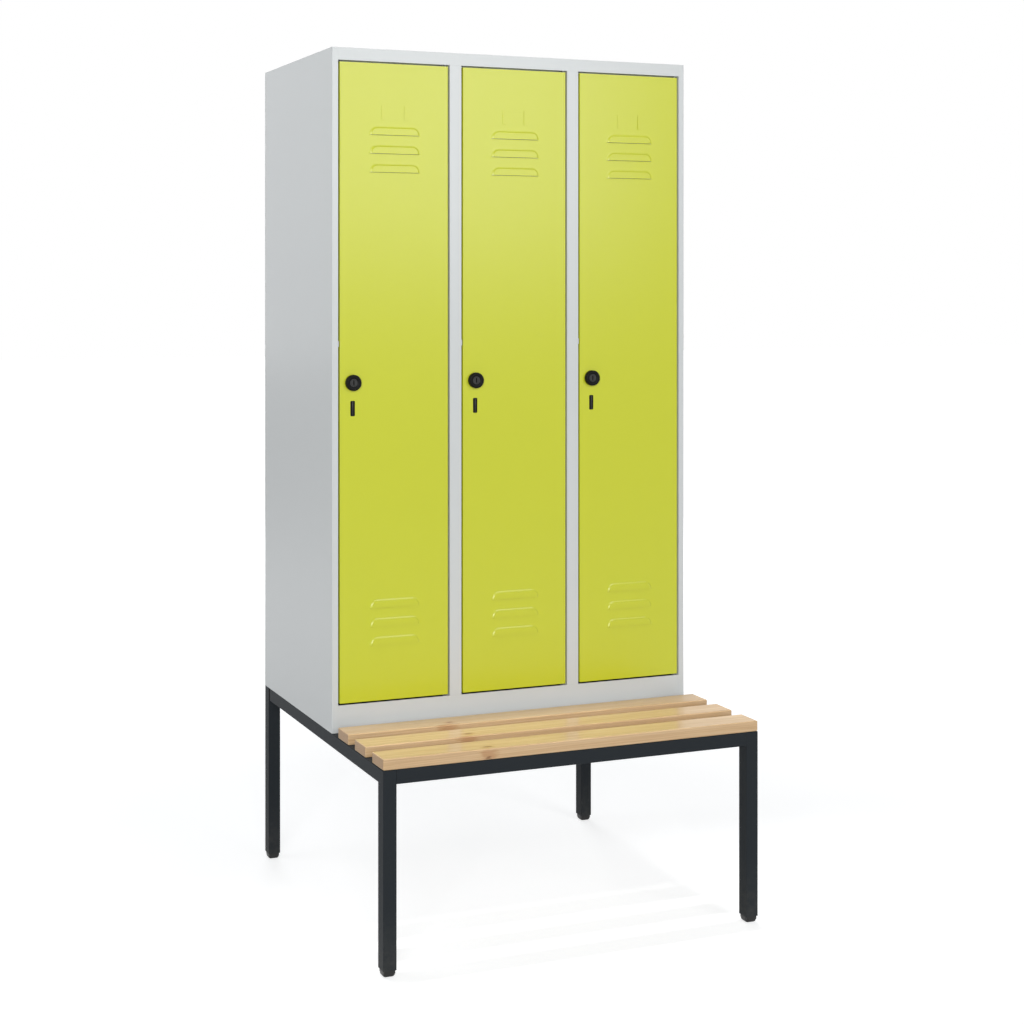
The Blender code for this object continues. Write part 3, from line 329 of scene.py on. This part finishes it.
def plated(name, base, roughness):
    """Zinc plated steel with rolling marks and cloudy chromate colour."""
    material, tree, shader = new_material(name)
    point = tree.place()
    cloud = tree.noise(point, 70.0, 4.0, 0.6, 0.5)
    rolled = tree.noise(tree.place(scale=(0.06, 1.0, 1.0)), 1400.0, 2.0, 0.6)
    chromate = colour(base[0], base[1] * 0.96, base[2] * 0.78)
    tone = tree.mix(tree.ramp(cloud, 0.35, 0.7), shaded(base, 0.88), shaded(base, 1.06))
    tone = tree.mix(tree.ramp(cloud, 0.60, 0.78, 0.0, 0.5), tone, chromate)
    tree.feed(shader.inputs["Base Color"], tone)
    shader.inputs["Metallic"].default_value = 1.0
    matt = tree.ramp(cloud, 0.3, 0.7, roughness - 0.05, roughness + 0.08)
    tree.feed(shader.inputs["Roughness"], matt)
    tree.feed(shader.inputs["Normal"], tree.bump(rolled, 0.2, ROLLED_DEPTH))
    return material


GREY = colour(0.640, 0.656, 0.652)
GREEN = colour(0.585, 0.616, 0.018)
DARK = colour(0.0245, 0.0285, 0.0325)
BLACK_PLASTIC = colour(0.0120, 0.0120, 0.0115)
GREY_PLASTIC = colour(0.56, 0.57, 0.56)
ZINC = colour(0.55, 0.55, 0.53)
FLOOR_DUST = (0.0, 0.16, colour(0.10, 0.095, 0.085))
WELD_COLUMNS = (-0.4425, -0.1428, 0.1572, 0.4425)
BACK_WELDS = (WELD_COLUMNS, 0.12, 0.0032)
SPARK_GRAIN = 1600.0
MATERIALS = {
    "grey_paint": powder_coat("grey_paint", GREY, 0.26, 0.50, 0.04, 0.04),
    "welded_back": powder_coat("welded_back", GREY, 0.26, 0.50, 0.04, 0.04, welds=BACK_WELDS),
    "green_paint": powder_coat("green_paint", GREEN, 0.26, 0.60, 0.04, 0.04),
    "dark_paint": powder_coat("dark_paint", DARK, 0.48, 0.05, 0.16, 0.22, FLOOR_DUST),
    "black_plastic": moulded("black_plastic", BLACK_PLASTIC, 0.33, SPARK_GRAIN, 0.10, 0.36),
    "grey_plastic": moulded("grey_plastic", GREY_PLASTIC, 0.55, 1300.0, 0.10, 0.26),
    "zinc_plated_steel": plated("zinc_plated_steel", ZINC, 0.32),
}
BEECH = {
    "slat_front": beech(
        "beech_front",
        pith=(-0.365, 0.352),
        offset=(0.31, 0.17, 0.05),
        flames=[
            ((-0.2105, -0.4075, 0.4390), (0.028, 0.030, 0.013)),
            ((-0.2075, -0.3940, 0.4508), (0.024, 0.010, 0.006)),
        ],
        knots=[
            ((-0.2124, -0.4075, 0.4318), (0.010, 0.008, 0.0036)),
            ((-0.2074, -0.3920, 0.4508), (0.014, 0.0045, 0.002)),
        ],
    ),
    "slat_middle": beech(
        "beech_middle",
        pith=(-0.310, 0.310),
        offset=(1.73, 0.92, 0.41),
        flames=[
            ((-0.2126, -0.3025, 0.4450), (0.034, 0.012, 0.014)),
            ((-0.2040, -0.2830, 0.4508), (0.024, 0.012, 0.006)),
        ],
        knots=[((-0.2029, -0.2806, 0.4508), (0.012, 0.0050, 0.002))],
    ),
    "slat_rear": beech(
        "beech_rear",
        pith=(-0.120, 0.375),
        offset=(3.19, 2.44, 1.37),
        flames=[
            ((-0.2154, -0.1975, 0.4450), (0.036, 0.012, 0.014)),
            ((-0.2020, -0.1790, 0.4508), (0.022, 0.012, 0.006)),
        ],
        knots=[((-0.2013, -0.1759, 0.4508), (0.010, 0.0045, 0.002))],
    ),
}
HINGE_STEEL = plated("dark_hinge_steel", colour(0.16, 0.16, 0.16), 0.45)
MATT_BLACK = moulded(
    "matt_black_plastic", colour(0.0045, 0.0045, 0.0042), 0.42, SPARK_GRAIN, 0.14, 0.10
)
RUBBER = moulded("black_rubber", colour(0.0025, 0.0025, 0.0025), 0.80, SPARK_GRAIN, 0.10, 0.05)

slot_of = {row["node"]: row["material_slot"] for row in record["subparts"]}
for name, obj in nodes.items():
    material = BEECH.get(name) or MATERIALS[slot_of[name]]
    if name.startswith("hinge_pin"):
        material = HINGE_STEEL
    if name == "back_panel":
        material = MATERIALS["welded_back"]
    if name.startswith(("lock_housing", "slot_plug")):
        material = MATT_BLACK
    obj.data.materials.clear()
    obj.data.materials.append(material)

# Rounded edges of the CAD meshes shade as curves, and their flat faces stay flat

SHARP_ANGLE = 50
DOOR_CONVEX_ANGLE = 31
CORNER_REACH = 0.000002
FACE_WEIGHT = 100
SQUARE_TO_AXIS = 0.9995
FACE_STRENGTH = "__mod_weightednormals_faceweight"
STRONG_FACE = 16384


def smoothed(obj, degrees, convex):
    """Joins the split corners, then shades by angle, with the faces square to an axis leading."""
    mesh = obj.data
    for name in ("custom_normal", "sharp_edge", "sharp_face"):
        if name in mesh.attributes:
            mesh.attributes.remove(mesh.attributes[name])
    weld = obj.modifiers.new("weld", "WELD")
    weld.merge_threshold = CORNER_REACH
    shade = obj.modifiers.new("smooth_by_angle", "NODES")
    shade.node_group = smooth_group(degrees, convex)
    weighted = obj.modifiers.new("weighted_normals", "WEIGHTED_NORMAL")
    weighted.keep_sharp = True
    weighted.use_face_influence = True
    weighted.weight = FACE_WEIGHT


def above(tree, value, limit):
    """Whether value is greater than limit, as a geometry node's output."""
    inputs = {"A": value, "B": limit}
    made = tree.node("FunctionNodeCompare", inputs, data_type="FLOAT", operation="GREATER_THAN")
    return made.outputs["Result"]


def smooth_group(degrees, convex):
    """A geometry node group that shades smooth and marks the edges over the angles as sharp.

    Edges that stand out are held to convex as well. The group also marks the faces square to an
    axis as the strong ones for the weighted normals.
    """
    name = f"smooth_{degrees}_{convex}"
    if name in bpy.data.node_groups:
        return bpy.data.node_groups[name]
    group = bpy.data.node_groups.new(name, "GeometryNodeTree")
    for in_out in ("INPUT", "OUTPUT"):
        group.interface.new_socket("Geometry", in_out=in_out, socket_type="NodeSocketGeometry")
    tree = Tree(group)
    geometry = tree.node("NodeGroupInput").outputs["Geometry"]
    angle = tree.node("GeometryNodeInputMeshEdgeAngle").outputs
    wide = above(tree, angle["Unsigned Angle"], math.radians(degrees))
    outward = above(tree, angle["Signed Angle"], math.radians(convex))
    sharp = tree.node("FunctionNodeBooleanMath", {0: wide, 1: outward}, operation="OR")
    inputs = {"Geometry": geometry, "Shade Smooth": True}
    faces = tree.node("GeometryNodeSetShadeSmooth", inputs, domain="FACE").outputs["Geometry"]
    inputs = {"Geometry": faces, "Selection": sharp.outputs["Boolean"], "Shade Smooth": False}
    edges = tree.node("GeometryNodeSetShadeSmooth", inputs, domain="EDGE").outputs["Geometry"]
    normal = tree.node("GeometryNodeInputNormal").outputs["Normal"]
    size = tree.node("ShaderNodeVectorMath", {0: normal}, operation="ABSOLUTE").outputs["Vector"]
    parts = tree.parts(size)
    largest = tree.math("MAXIMUM", tree.math("MAXIMUM", parts["X"], parts["Y"]), parts["Z"])
    square = above(tree, largest, SQUARE_TO_AXIS)
    inputs = {"Switch": square, "False": -STRONG_FACE, "True": STRONG_FACE}
    strength = tree.node("GeometryNodeSwitch", inputs, input_type="INT").outputs["Output"]
    inputs = {"Geometry": edges, "Name": FACE_STRENGTH, "Value": strength}
    stored = tree.node("GeometryNodeStoreNamedAttribute", inputs, data_type="INT", domain="FACE")
    tree.node("NodeGroupOutput", {"Geometry": stored.outputs["Geometry"]})
    return group


for name, obj in nodes.items():
    convex_angle = SHARP_ANGLE
    if name in DOORS:
        convex_angle = DOOR_CONVEX_ANGLE
    smoothed(obj, SHARP_ANGLE, convex_angle)

# Small pieces that the CAD leaves out

PIECE_SHARP_ANGLE = 38
SCREW_HEAD = 0.0046
BOLT_HEAD = 0.0068
BOLT_PLACES = (-0.300, 0.0, 0.300)
WELD_MARGIN = 0.002


def add_piece(name, shape, material, body):
    """Turns a finished bmesh into a piece that rides on a body."""
    bmesh.ops.recalc_face_normals(shape, faces=shape.faces)
    mesh = bpy.data.meshes.new(name)
    shape.to_mesh(mesh)
    shape.free()
    mesh.materials.append(material)
    mesh.shade_smooth()
    mesh.set_sharp_from_angle(angle=math.radians(PIECE_SHARP_ANGLE))
    piece = bpy.data.objects.new(name, mesh)
    bpy.context.scene.collection.objects.link(piece)
    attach(piece, body)


def bridged(shape, loops, closed=False):
    """Faces between each ring of points and the next, with capped ends unless the rings close."""
    pairs = list(zip(loops, loops[1:]))
    if closed:
        pairs.append((loops[-1], loops[0]))
    for below, above_it in pairs:
        for i in range(len(below)):
            shape.faces.new((below[i - 1], below[i], above_it[i], above_it[i - 1]))
    if not closed:
        shape.faces.new(loops[-1])
        shape.faces.new(loops[0][::-1])


def add_screw(shape, place, size):
    """Low round head with a six-sided socket, facing down. Size is its radius.

    Each ring is a share of that radius, a height and a number of sides, where 0 is round.
    """
    rings = (
        (1.00, 0.0, 0),
        (1.04, 0.0003, 0),
        (0.88, 0.0007, 0),
        (0.56, 0.0009, 0),
        (0.36, 0.0009, 6),
        (0.33, 0.0002, 6),
    )
    steps = 24
    loops = []
    for radius, height, sides in rings:
        loop = []
        for i in range(steps):
            angle = math.tau * i / steps
            reach = radius * size
            if sides:
                half = math.pi / sides
                reach /= math.cos((angle + half) % (2 * half) - half)
            x = place[0] + reach * math.cos(angle)
            y = place[1] + reach * math.sin(angle)
            loop.append(shape.verts.new((x, y, place[2] - height)))
        loops.append(loop)
    bridged(shape, loops)


def rounded_square(half, radius):
    """Outline of a square with round corners, as points (u, v)."""
    steps = 4
    inner = half - radius
    corners = ((inner, inner), (-inner, inner), (-inner, -inner), (inner, -inner))
    points = []
    for quarter, (u, v) in enumerate(corners):
        for i in range(steps + 1):
            angle = math.pi / 2 * (quarter + i / steps)
            points.append((u + radius * math.cos(angle), v + radius * math.sin(angle)))
    return points


def add_sleeve(side):
    """Rubber sleeve in the neck between the side rail and the rear leg."""
    gap = 0.0001
    length = 0.0098
    recess = 0.0003
    bore_recess = 0.0011
    edge = 0.0003
    corner = 0.0007
    low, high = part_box(f"side_frame_{side}")
    tube = high.x - low.x
    middle = ((low.x + high.x) / 2, high.z - tube / 2)
    rear = high.y - tube - gap
    front = rear - length
    outside = tube / 2 - recess
    inside = tube / 2 - bore_recess
    sections = (
        (inside, front),
        (outside - edge, front),
        (outside, front + edge),
        (outside, rear - edge),
        (outside - edge, rear),
        (inside, rear),
    )
    shape = bmesh.new()
    loops = []
    for half, y in sections:
        outline = rounded_square(half, corner)
        loops.append([shape.verts.new((middle[0] + u, y, middle[1] + v)) for u, v in outline])
    bridged(shape, loops, closed=True)
    add_piece(f"rail_sleeve_{side}", shape, RUBBER, "root")


def add_key_shutter(name):
    """Dark shutter deep in the keyhole, with round ends and a groove down its middle."""
    floor_depth = 0.0034
    face_depth = 0.0012
    groove_depth = 0.0010
    groove_half = 0.0004
    thinnest = 0.0001
    radius = 0.0012
    reach = 0.0047
    steps = 16
    low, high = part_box(f"lock_cylinder_{name}")
    x = (low.x + high.x) / 2
    z = (low.z + high.z) / 2
    floor = low.y + floor_depth
    face = low.y + face_depth
    shape = bmesh.new()
    loops = []
    for i in range(steps + 1):
        angle = math.pi * (i / steps - 0.5)
        wide = max(radius * math.cos(angle), thinnest)
        rise = 0.0
        if i != steps // 2:
            rise = math.copysign(reach, angle)
        height = rise + radius * math.sin(angle)
        groove = min(wide * 0.5, groove_half)
        section = (
            (-wide, floor),
            (-wide, face),
            (-groove, face),
            (0.0, face + groove_depth),
            (groove, face),
            (wide, face),
            (wide, floor),
        )
        loops.append([shape.verts.new((x + u, y, z + height)) for u, y in section])
    bridged(shape, loops)
    add_piece(f"key_shutter_{name}", shape, RUBBER, f"lock_{name}")


def add_plug_rib(name):
    """Upright rib on the face of the slot plug, with sloping sides and ends."""
    share_of_plug = 0.82
    low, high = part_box(f"slot_plug_{name}")
    x = (low.x + high.x) / 2
    z = (low.z + high.z) / 2
    tall = (high.z - low.z) * share_of_plug
    # Width, height and how far the level stands out of the plug
    levels = (
        (0.0030, tall, -0.0002),
        (0.0026, tall - 0.0006, 0.0005),
        (0.0016, tall - 0.0018, 0.0009),
    )
    corners = ((-1, -1), (1, -1), (1, 1), (-1, 1))
    shape = bmesh.new()
    loops = []
    for width, height, out in levels:
        points = [(x + u * width / 2, low.y - out, z + v * height / 2) for u, v in corners]
        loops.append([shape.verts.new(point) for point in points])
    bridged(shape, loops)
    material = MATERIALS["black_plastic"]
    add_piece(f"plug_rib_{name}", shape, material, f"door_leaf_{name}")


def add_sill_shade_strip(name):
    """Ribbed rubber strip on the sill's ledge under the door, up to the hinge pin. Its near-black
    rubber is painted shade that darkens the gap under the door.
    """
    door_gap = 0.0040
    pin_gap = 0.0020
    end_gap = 0.0010
    end_step = 0.0010
    # Depth behind the sill's face and height above its ledge
    section = (
        (0.0030, 0.0001),
        (0.0030, 0.0008),
        (0.0038, 0.0016),
        (0.0056, 0.0010),
        (0.0074, 0.0016),
        (0.0092, 0.0010),
        (0.0110, 0.0016),
        (0.0180, 0.0016),
        (0.0180, 0.0001),
    )
    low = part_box(f"door_{name}")[0]
    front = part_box("sill_rail")[0].y
    ledge = low.z - door_gap
    start = low.x + end_gap
    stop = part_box(f"hinge_pin_lower_{name}")[0].x - pin_gap
    shape = bmesh.new()
    loops = []
    for x in (start, start + end_step, stop - end_step, stop):
        points = [(x, front + depth, ledge + height) for depth, height in section]
        loops.append([shape.verts.new(point) for point in points])
    bridged(shape, loops)
    # Near-black rubber here is painted shade in the gap under the door
    add_piece(f"sill_shade_strip_{name}", shape, RUBBER, "root")


def add_weld(shape, start, stop, first, second):
    """Rippled fillet weld from start to stop, in the corner between two directions."""
    step = 0.0006
    bead = 0.0021
    ripple = 0.0003
    ripple_pitch = 0.0024
    end_share, end_slope = 0.35, 6.0
    hollow_share = 0.22
    fan = 6
    run = Vector(stop) - Vector(start)
    count = int(run.length / step)
    loops = []
    for i in range(count + 1):
        share = i / count
        swell = bead + ripple * abs(math.sin(math.pi * run.length * share / ripple_pitch))
        swell *= min(1.0, end_share + end_slope * min(share, 1.0 - share))
        corner = Vector(start) + run * share
        loop = [shape.verts.new(corner)]
        for k in range(fan):
            angle = math.pi / 2 * k / (fan - 1)
            hollow = 1.0 - hollow_share * math.sin(2.0 * angle)
            along = Vector(first) * math.cos(angle) + Vector(second) * math.sin(angle)
            loop.append(shape.verts.new(corner + along * swell * hollow))
        loops.append(loop)
    bridged(shape, loops)


def add_frame_details():
    """Screws under the slats, bolts under the body, and welds on the ends of the cross rails."""
    zinc = MATERIALS["zinc_plated_steel"]
    frame_low, frame_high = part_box("side_frame_left")
    tube = frame_high.x - frame_low.x
    under = frame_high.z - tube
    screws = bmesh.new()
    for slat in ("slat_front", "slat_middle", "slat_rear"):
        low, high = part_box(slat)
        for x in (low.x + tube / 2, high.x - tube / 2):
            add_screw(screws, (x, (low.y + high.y) / 2, under), SCREW_HEAD)
    add_piece("slat_screws", screws, zinc, "root")
    bolts = bmesh.new()
    for rail in ("cross_rail_middle", "cross_rail_rear"):
        low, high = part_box(rail)
        for x in BOLT_PLACES:
            add_screw(bolts, (x, (low.y + high.y) / 2, under), BOLT_HEAD)
    add_piece("body_bolts", bolts, zinc, "root")
    welds = bmesh.new()
    # Rails, and on which sides they are welded: 1 is the rear and -1 the front
    welded = (
        ("cross_rail_front", (1,)),
        ("cross_rail_middle", (-1, 1)),
        ("cross_rail_rear", (-1,)),
    )
    ends = ((frame_high.x, (1.0, 0.0, 0.0)), (-frame_high.x, (-1.0, 0.0, 0.0)))
    for rail, sides in welded:
        low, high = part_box(rail)
        for x, inward in ends:
            for side in sides:
                y = high.y if side > 0 else low.y
                start = (x, y, low.z + WELD_MARGIN)
                stop = (x, y, high.z - WELD_MARGIN)
                add_weld(welds, start, stop, inward, (0.0, side, 0.0))
    add_piece("frame_welds", welds, MATERIALS["dark_paint"], "root")


add_frame_details()
for side in ("left", "right"):
    add_sleeve(side)
for name in COMPARTMENTS:
    add_key_shutter(name)
    add_plug_rib(name)
    # The sill strips paint the shade in the gaps under the doors
    add_sill_shade_strip(name)

# Floor, lights, world and camera

WHITE = colour(1.0, 1.0, 1.0)
AMBIENT = colour(0.92, 0.99, 1.06)
AMBIENT_STRENGTH = 0.156
FLOOR_TONES = (colour(0.54, 0.54, 0.54), colour(0.56, 0.56, 0.56))
FLOOR_HALF_SIZE = 30.0
FLOOR_FADE = (1.0, 3.5)
FLOOR_LIFT = 0.68
FLOOR_FAR_LIFT = 0.4
CAMERA_PLACE = (-1.7248, -3.6891, 1.4206)
CAMERA_TURN = (math.pi / 2, 0.0, -0.3594)
LENS = 60.24
SENSOR = 36.0
SHIFT = (0.1444, -0.2191)
FAR = 100.0

PLAIN = (1.0, 1.0, 1.0)
FAINTLY_COOL = (0.98, 1.0, 1.01)
COOL = (0.98, 1.0, 1.02)
COOLER = (0.96, 1.0, 1.03)
WIDE = 180.0
# Name, place, the point it faces, width and height, power, tint, spread in degrees
LIGHTS = (
    ("key_softbox", (1.9, -5.1, 3.28), (1.9, 0.0, 3.28), (2.6, 3.44), 100.0, PLAIN, WIDE),
    ("fill_softbox", (-3.2, -6.2, 2.6), (-0.1, 0.0, 1.0), (3.0, 3.0), 274.0, FAINTLY_COOL, WIDE),
    ("bench_softbox", (0.0, 0.0, 4.4), (0.0, -0.30, 0.45), (2.4, 0.16), 2.44, PLAIN, 16.0),
    ("side_softbox", (-2.2, 0.7, 3.5), (-0.45, 0.2, 1.5), (1.2, 1.2), 13.0, COOLER, WIDE),
    ("rim_softbox", (-2.3, 5.0, 2.75), (-2.3, 0.0, 2.75), (3.0, 3.5), 19.4, COOL, WIDE),
    ("back_softbox", (1.1, 6.0, 2.6), (0.4, 0.4, 1.1), (2.6, 2.6), 150.0, COOL, WIDE),
)


def area_light(name, place, target, size, power, tint, spread):
    data = bpy.data.lights.new(name, "AREA")
    data.spread = math.radians(spread)
    data.shape = "RECTANGLE"
    data.size, data.size_y = size
    data.energy = power
    data.color = tint
    lamp = bpy.data.objects.new(name, data)
    bpy.context.scene.collection.objects.link(lamp)
    lamp.location = place
    lamp.visible_camera = False
    lamp.rotation_euler = (Vector(target) - Vector(place)).to_track_quat("-Z", "Y").to_euler()


def seen_directly(tree):
    """1 for what the camera, a reflection or a clear body shows, and 0 for light on surfaces."""
    path = tree.node("ShaderNodeLightPath").outputs
    seen = tree.math("MAXIMUM", path["Is Camera Ray"], path["Is Glossy Ray"])
    return tree.math("MAXIMUM", seen, path["Is Transmission Ray"])


def make_world():
    """White backdrop for the camera and for reflections, and plain light on surfaces."""
    world = bpy.data.worlds.new("studio")
    bpy.context.scene.world = world
    world.use_nodes = True
    world.node_tree.nodes.clear()
    tree = Tree(world.node_tree)
    inputs = {"Color": AMBIENT, "Strength": AMBIENT_STRENGTH}
    ambient = tree.node("ShaderNodeBackground", inputs).outputs[0]
    backdrop = tree.node("ShaderNodeBackground", {"Color": WHITE, "Strength": 1.0}).outputs[0]
    both = tree.node("ShaderNodeMixShader", {0: seen_directly(tree), 1: ambient, 2: backdrop})
    tree.node("ShaderNodeOutputWorld", {"Surface": both.outputs[0]})


def make_floor():
    """Pale floor that keeps the shadow and, away from the object, fades into the white."""
    shape = bmesh.new()
    bmesh.ops.create_grid(shape, x_segments=24, y_segments=24, size=FLOOR_HALF_SIZE)
    mesh = bpy.data.meshes.new("floor")
    shape.to_mesh(mesh)
    shape.free()
    floor = bpy.data.objects.new("floor", mesh)
    bpy.context.scene.collection.objects.link(floor)
    material, tree, shader = new_material("pale_floor")
    material.node_tree.nodes.remove(shader)
    point = tree.place()
    tone = tree.mix(tree.noise(point, 1.5, 3.0), *FLOOR_TONES)
    diffuse = tree.node("ShaderNodeBsdfDiffuse", {"Color": tone})
    parts = tree.parts(point)
    reach = tree.root_of_sum(tree.square(parts["X"]), tree.square(parts["Y"]))
    away = tree.ramp(reach, *FLOOR_FADE, 0.0, 1.0, True)
    lift = tree.math("ADD", tree.math("MULTIPLY", away, FLOOR_FAR_LIFT), FLOOR_LIFT)
    strength = tree.math("MULTIPLY", lift, seen_directly(tree))
    glow = tree.node("ShaderNodeEmission", {"Color": WHITE, "Strength": strength})
    both = tree.node("ShaderNodeAddShader", {0: diffuse.outputs[0], 1: glow.outputs[0]})
    tree.feed(material.node_tree.nodes["Material Output"].inputs["Surface"], both.outputs[0])
    mesh.materials.append(material)


def make_camera():
    data = bpy.data.cameras.new("camera")
    camera = bpy.data.objects.new("camera", data)
    bpy.context.scene.collection.objects.link(camera)
    camera.location = CAMERA_PLACE
    camera.rotation_euler = CAMERA_TURN
    data.sensor_width = SENSOR
    data.lens = LENS
    data.shift_x, data.shift_y = SHIFT
    data.clip_end = FAR
    bpy.context.scene.camera = camera


make_world()
make_floor()
make_camera()
for light in LIGHTS:
    area_light(*light)
bpy.context.scene.view_settings.view_transform = "Standard"
